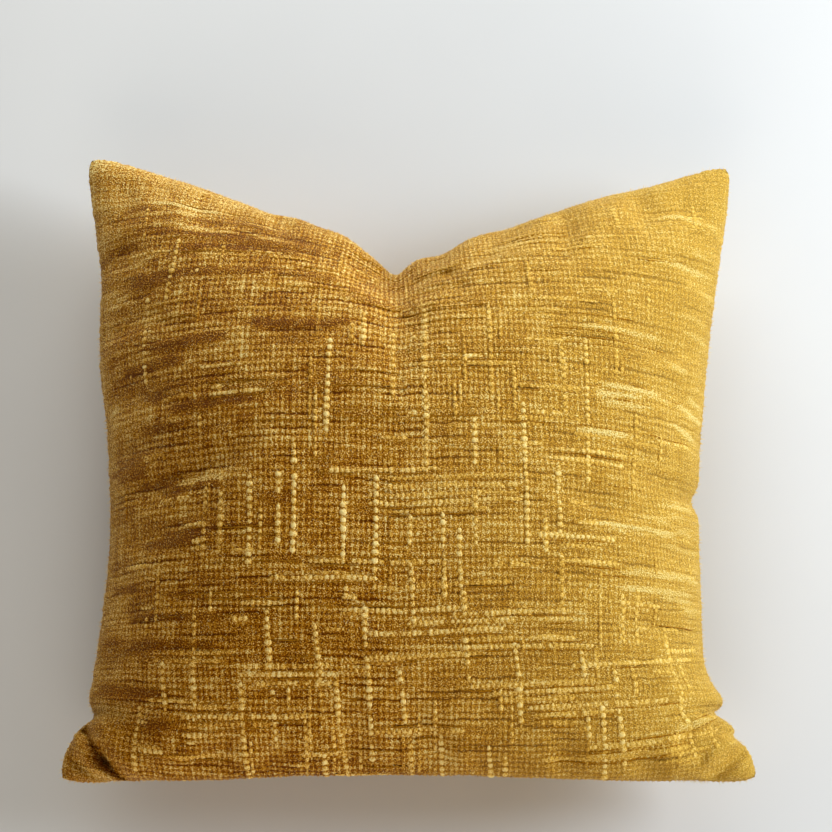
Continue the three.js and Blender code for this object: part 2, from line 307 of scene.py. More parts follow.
# Thick weft yarns on the front: from s, from t, to s, to t, light, whether beaded, groove above, groove below
WEFT_YARNS = [
    (-50, 9.6, 0, 11.2, 0.4, 0, 1, 1), (0, 11.2, 10, 11.6, 0.95, 1, 1, 1), (10, 11.6, 50, 12, 0.5, 0, 1, 1),
    (-56, -27, 20, -24.4, 0.85, 1, 0, 1), (-17, -30.5, 72, -29.6, 0.6, 1, 0, 1),
    (-16, -36, 72, -34.8, 0.8, 1, 0, 1), (-25, -41.5, 70, -40, 0.7, 1, 0, 1),
    (-25, -47, 72, -44.4, 0.85, 1, 0, 1), (-16, -51.6, 50, -50, 0.65, 1, 0, 1),
    (25, -8, 66, -8, 0.45, 0, 1, 1), (66, -8, 86, -8, 0.85, 1, 1, 1), (53, 8.2, 122, 9.4, 0.6, 1, 0, 1),
    (-62, -82.6, 20, -81.8, 0.75, 1, 1, 1), (-65, -92.4, -18, -92, 0.9, 1, 1, 1),
    (-22, -97, -5, -97, 0.9, 1, 0, 1), (-5, -96.5, 65, -94, 0.6, 1, 0, 1), (50, -84, 78, -84, 0.7, 1, 0, 1),
    (-40, -111, 34, -109, 0.9, 1, 1, 1), (28, -112.8, 104, -110, 0.85, 1, 0, 1),
    (0, -117.6, 104, -114.6, 0.85, 1, 0, 1), (-24, -123.6, 62, -120.8, 0.9, 1, 0, 1),
    (36, -127, 96, -124.6, 0.75, 1, 0, 1), (37, -131.4, 118, -129, 0.85, 1, 1, 1),
    (-28, -137, 50, -134, 0.75, 1, 0, 1), (38, -152.8, 120, -149.6, 0.8, 1, 0, 1),
    (52, -156.6, 130, -152.8, 0.85, 1, 0, 1), (56, -160.4, 105, -158.4, 0.7, 1, 0, 1),
    (75, -164, 178, -160.6, 0.9, 1, 0, 1), (78, -168.4, 132, -165.4, 0.8, 1, 0, 1),
    (76, -172.6, 106, -171.8, 0.65, 1, 0, 1), (-45, -178, 36, -177, 0.7, 1, 1, 0),
    (-68, -191.6, -38, -191.6, 0.75, 1, 1, 1), (102, -141, 150, -138.4, 0.85, 1, 0, 1),
    (150, -138.4, 198, -135, 0.85, 1, 0, 0), (112, -186, 178, -183.6, 0.9, 1, 1, 1),
    (85, -194, 180, -190, 0.6, 1, 1, 1), (-112, -116.4, -98, -116, 0.8, 1, 0, 0),
    (-104, -107.4, -74, -107, 0.8, 1, 1, 1), (-138, -134.6, -126, -134.6, 0.75, 1, 1, 0),
    (-110, -142.4, -48, -142, 0.75, 1, 0, 1), (-106, -147, -45, -146.6, 0.9, 1, 0, 1),
    (-96, -151.8, -47, -151.4, 0.75, 1, 0, 1), (-143, -165.4, -98, -163.6, 0.65, 1, 1, 1),
    (-143, -170.4, -62, -169, 0.85, 1, 0, 1), (-142, -175, -85, -173.4, 0.6, 1, 0, 1),
    (-142, -180.4, -112, -179.4, 0.85, 1, 0, 1), (-173, -191, -152, -191, 0.85, 1, 0, 1),
    (-148, -194.6, -103, -192, 0.75, 1, 1, 1), (-45, 98.5, -4, 97, 0.4, 0, 1, 1),
    (-128, 26, -90, 26, 1.0, 1, 0, 1), (-126, 30.2, -117, 30.2, 0.95, 1, 0, 0),
    (-115, 29.8, -78, 29.8, 0.45, 0, 1, 1), (-146, 117, -124, 118, 0.8, 1, 0, 1),
    (-99, 114.6, -92, 114.6, 0.85, 1, 0, 0), (-167, 181, -140, 180, 0.85, 0, 1, 1),
    (-144, -58.6, -127, -58, 0.85, 1, 0, 1), (-138, -69, -129, -69, 0.8, 1, 0, 0),
    (-138, -73.6, -126, -73.4, 0.75, 1, 1, 0), (-86, -93, -65, -92.6, 0.75, 1, 0, 1),
    (65, 121.5, 104, 121.5, 0.45, 0, 0, 1), (96, 144, 128, 143.4, 0.6, 1, 0, 1),
    (44, 128, 60, 129, 0.8, 0, 0, 1), (76, 160, 112, 163, 0.8, 0, 1, 1), (80, 153, 106, 155, 0.75, 0, 0, 1),
    (36, 49.6, 49, 49.6, 1.0, 1, 1, 1), (4, 44.6, 76, 44.6, 0.6, 1, 1, 1), (108, 76, 150, 75, 0.85, 0, 0, 1),
    (92, 70, 176, 68.6, 0.45, 0, 1, 1), (68, 30, 112, 30, 0.65, 1, 0, 1), (126, 29.4, 150, 29, 1.0, 0, 1, 1),
    (128, 24, 162, 23.4, 0.9, 0, 1, 0), (145, 35, 176, 34, 0.95, 0, 1, 0),
    (78, 12.6, 100, 12.6, 0.85, 1, 0, 0), (118, 3.4, 144, 3.2, 1.0, 0, 1, 0),
    (90, -10.4, 145, -10.6, 0.85, 1, 0, 1), (86, -16.6, 142, -16.8, 0.9, 1, 0, 1),
    (104, -57, 135, -57, 0.75, 1, 0, 0), (135, -57, 178, -56.8, 1.0, 0, 0, 0),
    (75, -66, 133, -66, 1.0, 1, 0, 1), (96, -80.8, 136, -80.8, 0.8, 1, 0, 1),
    (158, -84, 202, -83, 0.95, 0, 0, 0), (133, -94.6, 202, -93.4, 0.95, 0, 0, 0),
    (172, -130.6, 206, -128.6, 0.85, 1, 0, 0), (180, -178.6, 214, -174, 0.85, 0, 1, 1),
]
# Grooves that lie alone between the wefts, each a painted shadow strip: from s, from t, to s, to t
GROOVES = [
    (-38, 40, -4, 39.4), (-72, 123, -27, 122.6), (-84, 103.6, -27, 103.2), (-88, 113, -78, 113),
    (-150, 165, -108, 164), (-110, 160, -94, 159.6), (-166, 147, -110, 147), (-146, 134, -90, 133.6),
    (15, 90, 56, 90), (0, 78.6, 60, 78.4), (24, 52.6, 102, 51.6), (106, 84, 150, 83.6), (94, 62.4, 150, 61.8),
    (95, 22, 112, 21.8), (0, 56.6, 40, 56.4), (-180, -114.4, -108, -114.2), (-130, -105, -104, -105),
    (-142, -136.6, -104, -136.4), (-148, -141, -116, -141), (-166, -155.2, -130, -155.2),
    (-122, -62, -76, -61.6), (-108, -66.8, -80, -66.4), (20, -79.4, 44, -79), (-65, -108.6, -40, -108.6),
    (-98, 6, -60, 6), (-70, -20, -48, -20), (96, -29, 140, -29), (110, -196.6, 182, -193),
    (-60, -189.6, -10, -189.6),
]
# Smooth floats, low and dark, their darkness partly the pile's own and partly painted shade where the pile
# turns
# from the light: from s, from t, to s, to t, half width, light
FLOATS = [
    (-108, 72.4, -38, 73, 4.2, 0.16), (-170, 62, -116, 66, 4.4, 0.14), (-188, 50, -144, 53, 4.6, 0.12),
    (-152, 19, -95, 21, 3.6, 0.14), (-135, 138, -72, 138, 4.6, 0.36), (-192, -130, -130, -130.4, 4.2, 0.18),
    (-206, -158, -166, -158, 4.2, 0.16), (-176, -175, -120, -176, 3.2, 0.2),
    (-202, -94, -166, -95, 3.2, 0.18), (-180, 112, -166, 112, 3.6, 0.16), (-168, 29, -150, 32, 4.0, 0.12),
    (-210, -12, -178, -10, 4.6, 0.2), (-146, -64, -128, -64.6, 2.6, 0.12), (-112, 156, -60, 156, 3.6, 0.34),
    (60, 137, 100, 138, 3.4, 0.42), (128, 60, 172, 58, 3.2, 0.45), (-150, 167, -78, 163, 3.0, 0.26),
    (-140, 147, -60, 143, 4.4, 0.3), (-168, 151, -108, 149, 2.6, 0.14), (-150, 137.6, -76, 137, 2.0, 0.2),
    (-165, 117, -98, 116, 3.6, 0.22), (-80, 114, -44, 113, 3.4, 0.28), (-194, 122, -172, 113, 4.2, 0.2),
    (-200, -20, -172, -17, 4.8, 0.2), (-182, 5, -158, 10, 3.8, 0.2), (-152, -36, -130, -35, 4.0, 0.22),
    (-178, -70, -138, -68, 4.0, 0.2), (-172, -30, -150, -29, 4.6, 0.24), (-154, -63, -76, -60, 1.7, 0.14),
    (-162, -101, -126, -100, 2.0, 0.2), (-178, -114.6, -100, -114, 2.2, 0.18),
    (-206, 172, -184, 172, 5.0, 0.24), (-212, 140, -190, 146, 3.6, 0.24), (-206, 70, -188, 76, 3.6, 0.24),
]
# Pale smooth floats near the right side, their paleness partly the pile's own and partly painted sheen: from
# s, from t, to s, to t, half width, light
PALE_FLOATS = [
    (186, 176, 198, 172, 2.8, 1.0), (204, 172, 214, 168, 2.2, 0.9), (188, 148, 202, 144, 2.2, 0.95),
    (176, 134, 207, 129, 2.4, 1.0), (196, 118, 212, 115, 1.8, 0.85), (200, 96, 214, 92, 1.8, 0.8),
    (202, 84, 214, 80, 2.0, 0.85), (182, 58, 192, 56, 2.4, 0.9), (-212, 24, -197, 31, 1.9, 0.78),
    (-196, 9, -186, 14, 1.9, 0.78), (-182, 14, -166, 17, 2.0, 0.74), (-178, -36, -168, -35.6, 2.2, 0.9),
    (-202, 55, -192, 61, 1.9, 0.76), (-194, 67, -186, 71, 1.9, 0.72), (-166, 70, -160, 71.6, 1.9, 0.78),
    (-197, 104, -186, 109, 2.0, 0.76), (-182, 99, -172, 103, 1.9, 0.72), (-206, 84, -192, 89, 1.9, 0.72),
    (-186, 128, -172, 132, 1.9, 0.72), (-150, -29.6, -128, -29, 1.9, 0.76), (-150, 156, -122, 155, 1.9, 0.84),
    (-136, 131, -124, 130.8, 2.0, 0.86), (-102, 169, -86, 168, 1.8, 0.84), (-120, 152, -98, 151, 1.9, 0.8),
    (-180, 160, -160, 161, 1.9, 0.78), (-175, 172, -150, 172, 1.9, 0.8), (200, 50, 214, 47, 2.0, 0.85),
    (196, 40, 212, 36, 2.2, 0.9), (192, 31, 213, 26, 2.4, 1.0), (184, 18, 213, 10, 2.4, 1.0),
    (176, -37, 206, -38, 1.8, 0.9), (172, -44, 204, -46, 1.8, 0.85), (180, -53, 206, -55, 1.8, 0.8),
    (182, -64, 206, -66, 1.8, 0.75), (164, -49, 172, -49, 2.2, 0.85), (152, -7.4, 160, -7.4, 2.6, 0.9),
    (184, -104, 208, -104, 1.8, 0.8), (180, -98, 206, -98, 2.0, 0.85),
]

# The camera of the photograph
CAMERA_TILT = 14
CAMERA_DISTANCE = 1600
CAMERA_TARGET = (4.9, 30.5, 58)
CAMERA_LENS = 102.63
SENSOR_WIDTH = 36

# How finely curves and tables of the form are sampled, and how cloth is fitted to its seams
CURVE_SAMPLES = 401
FORM_SAMPLES = 161
TABLE = 181
EVEN = np.linspace(-1, 1, TABLE)
END_FIT = 3
FITTING_ROUNDS = 4
TINY = 1e-9


def curve_through(points):
    """A smooth curve through points, as a function of the share of its length."""
    p = np.array(points, float)
    n = len(p)
    t = np.linspace(0, n - 1, CURVE_SAMPLES)
    i = np.minimum(t.astype(int), n - 2)
    w = (t - i)[:, None]
    before, start, end, after = p[np.maximum(i - 1, 0)], p[i], p[i + 1], p[np.minimum(i + 2, n - 1)]
    leave, arrive = (end - before) / 2, (after - start) / 2
    line = (2 * start - 2 * end + leave + arrive) * w**3
    line += (3 * end - 3 * start - 2 * leave - arrive) * w**2 + leave * w + start
    length = np.append(0, np.cumsum(np.hypot(*np.diff(line, axis=0).T)))
    length /= length[-1]
    return lambda share: np.stack([np.interp(share, length, line[:, k]) for k in (0, 1)], -1)


BOTTOM, TOP = curve_through(BOTTOM_SEAM), curve_through(TOP_SEAM)
LEFT, RIGHT = curve_through(LEFT_SEAM), curve_through(RIGHT_SEAM)
HALF_HEIGHT = (TOP_LEFT[1] - BOTTOM_LEFT[1]) / 2


def between_corners(across, up):
    across, up = np.asarray(across)[..., None], np.asarray(up)[..., None]
    low = np.array(BOTTOM_LEFT) * (1 - across) + np.array(BOTTOM_RIGHT) * across
    high = np.array(TOP_LEFT) * (1 - across) + np.array(TOP_RIGHT) * across
    return low * (1 - up) + high * up


def plan_point(u, v):
    """Where a point of the cloth lies in plan. u and v run from -1 to 1 across and up the panel."""
    across = (1 + u * (1 - TIP_CUT * np.abs(v) ** TIP_CLOSENESS)) / 2
    up = (1 + v * (1 - TIP_CUT * np.abs(u) ** TIP_CLOSENESS)) / 2
    low, high = np.zeros_like(across), np.ones_like(across)
    plan = between_corners(across, up)
    plan += (LEFT(up) - between_corners(low, up)) * ((1 - across) ** SIDE_FADE)[..., None]
    plan += (RIGHT(up) - between_corners(high, up)) * (across**SIDE_FADE)[..., None]
    plan += (BOTTOM(across) - between_corners(across, low)) * ((1 - up) ** BOTTOM_FADE)[..., None]
    plan += (TOP(across) - between_corners(across, high)) * (up**NOTCH_FADE)[..., None]
    for side, y, half_width, inward in NICKS:
        fade = ((1 + side * u) / 2) ** NICK_FADE
        plan[..., 0] -= side * inward * fade * np.exp(-(((plan[..., 1] - y) / half_width) ** 2))
    return plan


def fullness(u, v):
    end_roundness = np.where(v < 0, BOTTOM_ROUNDNESS, TOP_ROUNDNESS)
    across_part = 1 - np.abs(u) ** (SIDE_ROUNDNESS - SIDE_SETTLING * v)
    up_part = 1 - np.abs(v) ** end_roundness
    return np.maximum(across_part * up_part, 0) ** STEEPNESS


def hump(x):
    return np.maximum(0, 1 - x**4) ** 2


def ease(share):
    return share * share * (3 - 2 * share)


def roll_out(u, v):
    out = np.zeros_like(u)
    for edge, middle, half_length, roll, crest in ROLLS:
        from_seam = HALF_HEIGHT * (1 - edge * v) / crest
        out += edge * roll * hump((u - middle) / half_length) * from_seam * np.exp(1 - from_seam)
    return out


def to_segment(x, y, x0, y0, x1, y1):
    dx, dy = x1 - x0, y1 - y0
    share = np.clip(((x - x0) * dx + (y - y0) * dy) / (dx * dx + dy * dy), 0, 1)
    return np.hypot(x - x0 - share * dx, y - y0 - share * dy)


def crease_rise(x, y):
    rise = np.zeros_like(x)
    for x0, y0, x1, y1, half_width, height in CREASES:
        rise += height * np.exp(-((to_segment(x, y, x0, y0, x1, y1) / half_width) ** 2))
    return rise


def pucker(u, v, x, y):
    """Puckers run inwards from the seam, with uneven spacing, and die out over the reach."""
    def wave(place, phase):
        turn = 2 * math.pi * place / PUCKER_PITCH
        return np.sin(turn + phase) + SECOND_WAVE * np.sin(SECOND_TURNS * turn + 2 * phase)

    side_wave = wave(y, np.sign(u)) * np.exp(-HALF_HEIGHT * (1 - np.abs(u)) / PUCKER_REACH)
    end_wave = wave(x, END_PHASE * np.sign(v)) * np.exp(-HALF_HEIGHT * (1 - np.abs(v)) / PUCKER_REACH)
    return PUCKER_RISE * (side_wave + end_wave)


def seam_height(u, v):
    return SEAM_HEIGHT - CORNER_DROP * u * u * v * v


def front_point(u, v, relief=1.0):
    plan, full = plan_point(u, v), fullness(u, v)
    x, y = plan[..., 0], plan[..., 1]
    lift = np.minimum(1, CREASE_ONSET * full) * crease_rise(x, y)
    lift += np.minimum(1, PUCKER_ONSET * full) * pucker(u, v, x, y)
    return np.stack([x, y + roll_out(u, v), seam_height(u, v) + FRONT_CROWN * full + relief * lift], -1)


def back_point(u, v, relief=1.0):
    plan, full = plan_point(u, v), fullness(u, v)
    x, y = plan[..., 0], plan[..., 1]
    lift = np.minimum(1, PUCKER_ONSET * full) * pucker(-u, v, x, y)
    return np.stack([x, y, np.maximum(0, seam_height(u, v) - BACK_DEPTH * full + relief * lift)], -1)


def sample(table, low, high, a, b):
    """Bilinear reading of table[a, b], whose both axes run from low to high."""
    n, m = table.shape[0] - 1, table.shape[1] - 1
    fa, fb = (a - low) / (high - low) * n, (b - low) / (high - low) * m
    ia, ib = np.clip(fa.astype(int), 0, n - 1), np.clip(fb.astype(int), 0, m - 1)
    wa, wb = fa - ia, fb - ib
    if table.ndim == 3:
        wa, wb = wa[..., None], wb[..., None]
    near = table[ia, ib] * (1 - wb) + table[ia, ib + 1] * wb
    far = table[ia + 1, ib] * (1 - wb) + table[ia + 1, ib + 1] * wb
    return near * (1 - wa) + far * wa


def lay_threads(length):
    """length[i, j] is the cloth's length from the middle to EVEN[j], on line i. It returns where on that
    line each thread share lies: evenly laid in the middle, and fitted to the seam at the ends."""
    laid = np.zeros_like(length)
    share = np.abs(EVEN) ** END_FIT
    for i, row in enumerate(length):
        end = np.where(EVEN < 0, -row[0], row[-1])
        target = np.sign(EVEN) * (HALF_CLOTH * np.abs(EVEN) + (end - HALF_CLOTH) * share)
        laid[i] = np.interp(target, row, EVEN)
    return laid


def up_of_row(row):
    """Height on the cloth, -1 to 1, of a row of the weave, -1 to 1: rows are wider towards the top."""
    return row - ROW_SPREAD * (1 - row * row)


def row_of_up(up):
    return (np.sqrt(1 + 4 * ROW_SPREAD * (up + ROW_SPREAD)) - 1) / (2 * ROW_SPREAD)


def cloth_grid(point):
    """Panel parameters u and v for each crossing of the weave's half threads, ROWS + 1 by COLUMNS + 1."""
    u, v = np.meshgrid(EVEN, EVEN)
    smooth = point(u, v, 0.0)
    middle = TABLE // 2

    def lengths(points):
        steps = np.linalg.norm(np.diff(points, axis=1), axis=-1)
        total = np.concatenate([np.zeros((len(points), 1)), np.cumsum(steps, axis=1)], axis=1)
        return total - total[:, middle:middle + 1]

    across = lay_threads(lengths(smooth))
    upward = lay_threads(lengths(smooth.transpose(1, 0, 2)))
    c, r = np.meshgrid(np.linspace(-1, 1, COLUMNS + 1), up_of_row(np.linspace(-1, 1, ROWS + 1)))
    u, v = c.copy(), r.copy()
    for _ in range(FITTING_ROUNDS):
        u, v = sample(across, -1, 1, v, c), sample(upward, -1, 1, u, r)
    u[:, 0], u[:, -1] = -1, 1
    v[0], v[-1] = -1, 1
    return u, v


def middle_of_form():
    """The middle of the form in plan, where the row frame has its origin."""
    even = np.linspace(-1, 1, FORM_SAMPLES)
    u, v = np.meshgrid(even, even)
    both = np.concatenate([front_point(u, v), back_point(u, v)]).reshape(-1, 3)
    middle = (both.min(0) + both.max(0)) / 2
    middle[2] = 0
    return middle


def normals_of(grid):
    """Unit normals of a grid of points, upwards where columns run right and rows run up."""
    normal = np.cross(np.gradient(grid, axis=1), np.gradient(grid, axis=0))
    return normal / np.maximum(np.linalg.norm(normal, axis=-1, keepdims=True), TINY)


class Panel:
    """One panel of the cover, as a grid of its thread crossings without any relief."""

    def __init__(self, point, outward):
        u, v = cloth_grid(point)
        self.ground = point(u, v) - middle_of_form()
        self.outward = outward
        self.turn_normals()

    def turn_normals(self):
        self.normal = normals_of(self.ground) * self.outward

    def place(self, s, t, height):
        """Points at cloth places s, t (mm from the panel's middle), and so far above its ground."""
        row, column = row_of_up(np.clip(t / HALF_CLOTH, -1, 1)), s / HALF_CLOTH
        ground = sample(self.ground, -1, 1, row, column)
        normal = sample(self.normal, -1, 1, row, column)
        return ground + normal * height[..., None]


def cloth_places():
    """Cloth places s and t of the panel's grid, and t as it would be with even rows."""
    s, even = np.meshgrid(
        np.linspace(-HALF_CLOTH, HALF_CLOTH, COLUMNS + 1),
        np.linspace(-HALF_CLOTH, HALF_CLOTH, ROWS + 1),
    )
    return s, HALF_CLOTH * up_of_row(even / HALF_CLOTH), even


def soften(values, steps):
    """A grid of values, evened out between neighbours in so many steps, with its edges held."""
    values = values.copy()
    for _ in range(steps):
        around = values[:-2, 1:-1] + values[2:, 1:-1] + values[1:-1, :-2] + values[1:-1, 2:]
        values[1:-1, 1:-1] = values[1:-1, 1:-1] / 2 + around / 8
    return values


def settle(front, back):
    """Lets both panels settle as cloth round the filling, and moves their grounds by what that gives."""
    step = slice(None, None, CLOTH_STEP)
    top, under = front.ground[step, step], back.ground[step, step]
    index = np.arange(top[..., 0].size).reshape(top.shape[:2])
    behind = index.copy()
    inner = (slice(1, -1), slice(1, -1))
    behind[inner] = index.size + np.arange(behind[inner].size).reshape(behind[inner].shape)
    form = np.concatenate([top.reshape(-1, 3), under[inner].reshape(-1, 3)])
    faces = []
    for grid, turn in ((index, 1), (behind, -1)):
        quads = np.stack([grid[:-1, :-1], grid[:-1, 1:], grid[1:, 1:], grid[1:, :-1]], -1).reshape(-1, 4)
        faces += quads[:, ::turn].tolist()
    start = form.copy()
    start[:, 2] = SEAM_HEIGHT + START_FULLNESS * (form[:, 2] - SEAM_HEIGHT)
    seam = [index[0], index[-1], index[:, 0], index[:, -1]]
    held = np.unique(np.concatenate([*seam, np.flatnonzero(form[:, 2] <= 0)]))
    start[held] = form[held]
    mesh = bpy.data.meshes.new("settling")
    mesh.from_pydata((start * MM).tolist(), [], faces)
    cloth = bpy.data.objects.new("settling", mesh)
    bpy.context.scene.collection.objects.link(cloth)
    group = cloth.vertex_groups.new(name="held")
    group.add(held.tolist(), 1.0, "REPLACE")
    modifier = cloth.modifiers.new("cloth", "CLOTH")
    settings = modifier.settings
    for key, value in CLOTH_SETTINGS.items():
        setattr(settings, key, value)
    settings.effector_weights.gravity = 0
    modifier.point_cache.frame_end = FRAMES
    for frame in range(1, FRAMES + 1):
        bpy.context.scene.frame_set(frame)
    settled = cloth.evaluated_get(bpy.context.evaluated_depsgraph_get()).to_mesh()
    points = np.zeros(len(form) * 3)
    settled.vertices.foreach_get("co", points)
    moved = points.reshape(-1, 3) / MM - form
    bpy.data.objects.remove(cloth)
    bpy.data.meshes.remove(mesh)
    bpy.context.scene.frame_set(1)
    s, even = np.meshgrid(np.linspace(-1, 1, COLUMNS + 1), np.linspace(-1, 1, ROWS + 1))
    for panel, grid in ((front, index), (back, behind)):
        broad = soften(moved[grid], BROAD_STEPS)
        shift = BROAD_SHARE * broad + BUCKLE_SHARE * (moved[grid] - broad)
        reach = np.linalg.norm(shift, axis=-1, keepdims=True)
        shift *= MOST_MOVED * np.tanh(reach / MOST_MOVED) / np.maximum(reach, TINY)
        from_seam = HALF_CLOTH * (1 - np.maximum(np.abs(even), np.abs(s)))[..., None]
        fade = np.clip(from_seam / SEAM_HOLD, 0, 1)
        panel.ground += soften(sample(shift, -1, 1, even, s), SMOOTH_STEPS) * ease(fade)
        panel.ground = soften(panel.ground, GROUND_STEPS)
        panel.turn_normals()
    back.ground[..., 2] = np.maximum(back.ground[..., 2], 0)


def drift(rng, yarns, places):
    """For each yarn, a value of about unit spread that drifts smoothly from place to place along it."""
    knots = 2 + int(2 * HALF_CLOTH / DRIFT_REACH)
    values = rng.normal(0, DRIFT_SPREAD, (yarns, knots))
    run = np.linspace(0, knots - 1 - KNOT_PLAY, places) + rng.uniform(0, KNOT_PLAY, (yarns, 1))
    knot = run.astype(int)
    share = ease(run - knot)
    before, after = np.take_along_axis(values, knot, 1), np.take_along_axis(values, knot + 1, 1)
    return before * (1 - share) + after * share


def at_columns(values):
    """Values of the bead columns, at the mesh's columns: between two beads, the mean of both."""
    column = np.arange(COLUMNS + 1)
    return (values[:, column // CELLS_ACROSS] + values[:, (column + 1) // CELLS_ACROSS]) / 2


def on_bead(place, pitch):
    """1 in the middle of each bead and 0 between two."""
    return 0.5 + 0.5 * np.cos(2 * math.pi * place / pitch)


class Weave:
    """The base weave of one panel: how high and how light each of its points is."""

    def __init__(self, floats, rng):
        self.s, self.t, self.even = cloth_places()
        self.from_rim = np.minimum(HALF_CLOTH - np.abs(self.s), HALF_CLOTH - np.abs(self.t))
        weft = drift(rng, BEADS_UP + 1, COLUMNS + 1)
        band = drift(rng, BEADS_UP // BAND_ROWS + 2, COLUMNS + 1)
        band_of_weft = (np.arange(BEADS_UP + 1) + rng.integers(0, 2, BEADS_UP + 1)) // BAND_ROWS
        weft = WEFT_MIX * (weft + band[band_of_weft])
        warp = drift(rng, BEADS_ACROSS + 1, ROWS + 1).T
        between = np.clip(drift(rng, BEADS_UP + 1, COLUMNS + 1) - GROOVE_SHARE, 0, 1)
        # Calmer towards the right, in tone and relief: in tone a painted flattening where the light falls
        # head-on
        calm = 1 - CALM * np.clip((self.s - CALM_FROM) / (CALM_TO - CALM_FROM), 0, 1)
        self.weft = weft[WEFT_OF_ROW] * calm
        self.warp = at_columns(warp) * calm
        self.bead = at_columns(rng.normal(0, 1, (BEADS_UP + 1, BEADS_ACROSS + 1))[WEFT_OF_ROW])
        between = between[np.arange(ROWS + 1) // CELLS_UP]
        self.groove = between * np.clip(self.from_rim / GROOVE_FADE, 0, 1)
        self.lay_floats(floats, rng)

    def lay_floats(self, floats, rng):
        """Low smooth bands of pile, with ragged soft ends, that hide the beads under them."""
        from_seam = np.minimum(HALF_CLOTH - np.abs(self.s), HALF_CLOTH - self.t)
        near_seam = np.clip(SMOOTH_ONSET - from_seam / SMOOTH_RIM, 0, 1)
        to_right = np.clip((self.s - SMOOTH_SIDE) / HALF_CLOTH, 0, 1)
        self.smooth = np.clip(SMOOTH_FROM - self.weft, 0, MOST_SMOOTH)
        self.smooth = np.maximum(self.smooth, MOST_SMOOTH * np.maximum(near_seam, to_right))
        self.shift = np.zeros_like(self.s)
        for s0, t0, s1, t1, half_width, light in floats:
            share = np.clip((self.s - s0) / (s1 - s0), 0, 1)
            off = (self.t - t0 - share * (t1 - t0)) / half_width
            ends = rng.normal(0, FLOAT_RAGGED, (2, BEADS_UP + 1))[:, WEFT_OF_ROW, None]
            inside = np.minimum(self.s - s0 - ends[0], s1 + ends[1] - self.s)
            cover = np.exp(-(off**FLOAT_EDGE)) * np.clip(0.5 + inside / FLOAT_FADE, 0, 1)
            # The tone a float sets is partly its own shade and partly painted: shade for dark floats, sheen
            # for pale ones
            self.shift += cover * ((light - 0.5) * FLOAT_TONE - self.shift)
            self.smooth = np.maximum(self.smooth, cover)

    def relief(self, rng):
        """Height over the ground: a bead on each crossing, uneven, with grooves between some rows."""
        across, upward = on_bead(self.s, BEAD_WIDTH), on_bead(self.even, BEAD_HEIGHT)
        bead = BEAD_RELIEF * (np.sqrt(across * upward) - BEAD_LEVEL) * (1 - self.smooth)
        bead += FLOAT_RELIEF * self.smooth
        bead += WEFT_RELIEF * self.weft - GROOVE_DEPTH * self.groove * (upward < BETWEEN_BEADS)
        fuzz = rng.normal(0, FUZZ_HEIGHT, self.s.shape)
        return (bead + fuzz) * (1 + RIM_BUMP * np.clip(1 - self.from_rim / RIM_FADE, 0, 1))

    def looks(self):
        """The point attributes that the material reads."""
        tone = self.shift + WEFT_TONE * self.weft + WARP_TONE * self.warp
        tone += BEAD_TONE * self.bead * (1 - self.smooth)
        # Painted shade: darker on the left part of the cover, where less light falls
        tone -= LEFT_PAINTED_SHADE * hump(np.clip(2 * self.s / HALF_CLOTH + 1, -1, 1))
        # Painted highlight: lighter below the top seam, strongest at the left, where light falls on the roll
        near_top = np.clip(TOP_REACH - (HALF_CLOTH - self.t), 0, TOP_RISE) / TOP_RISE
        tone += TOP_PAINTED_HIGHLIGHT * near_top * np.clip(0.5 - self.s / TOP_FADE, 0, 1)
        return (
            np.stack([self.s, self.even, np.zeros_like(self.s)], -1),
            np.stack([tone, self.groove, self.smooth], -1),
        )


def new_piece(name, points, faces, attributes, material):
    """A mesh object from points in mm, with point attributes, riding on the cushion."""
    mesh = bpy.data.meshes.new(name)
    mesh.from_pydata((points * MM).tolist(), [], faces)
    mesh.polygons.foreach_set("use_smooth", np.ones(len(faces), bool))
    for key, values in attributes.items():
        kind, field = ("FLOAT_VECTOR", "vector") if values.ndim == 2 else ("FLOAT", "value")
        layer = mesh.attributes.new(key, kind, "POINT")
        layer.data.foreach_set(field, np.ascontiguousarray(values, np.float32).ravel())
    mesh.materials.append(material)
    mesh.validate()
    mesh.update()
    piece = bpy.data.objects.new(name, mesh)
    bpy.context.scene.collection.objects.link(piece)
    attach(piece, "root")
    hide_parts("cushion")
    return piece


def cover_faces():
    """Faces of the closed cover: the front's own grid, and the back at half its fineness.

    Both share the rim. The back's other points come after the front's, row by row."""
    wide = COLUMNS + 1
    front = np.arange((ROWS + 1) * wide).reshape(ROWS + 1, wide)
    quads = np.stack([front[:-1, :-1], front[:-1, 1:], front[1:, 1:], front[1:, :-1]], -1)
    faces = quads.reshape(-1, 4).tolist()
    back = front[::2, ::2].copy()
    inner = back[1:-1, 1:-1]
    inner[:] = front.size + np.arange(inner.size).reshape(inner.shape)
    last_row, last_column = back.shape[0] - 2, back.shape[1] - 2
    for j in range(last_row + 1):
        for i in range(last_column + 1):
            ring = [back[j, i]]
            if i == 0:
                ring.append(front[2 * j + 1, 0])
            ring.append(back[j + 1, i])
            if j == last_row:
                ring.append(front[-1, 2 * i + 1])
            ring.append(back[j + 1, i + 1])
            if i == last_column:
                ring.append(front[2 * j + 1, -1])
            ring.append(back[j, i + 1])
            if j == 0:
                ring.append(front[0, 2 * i + 1])
            faces.append([int(k) for k in ring])
    return faces


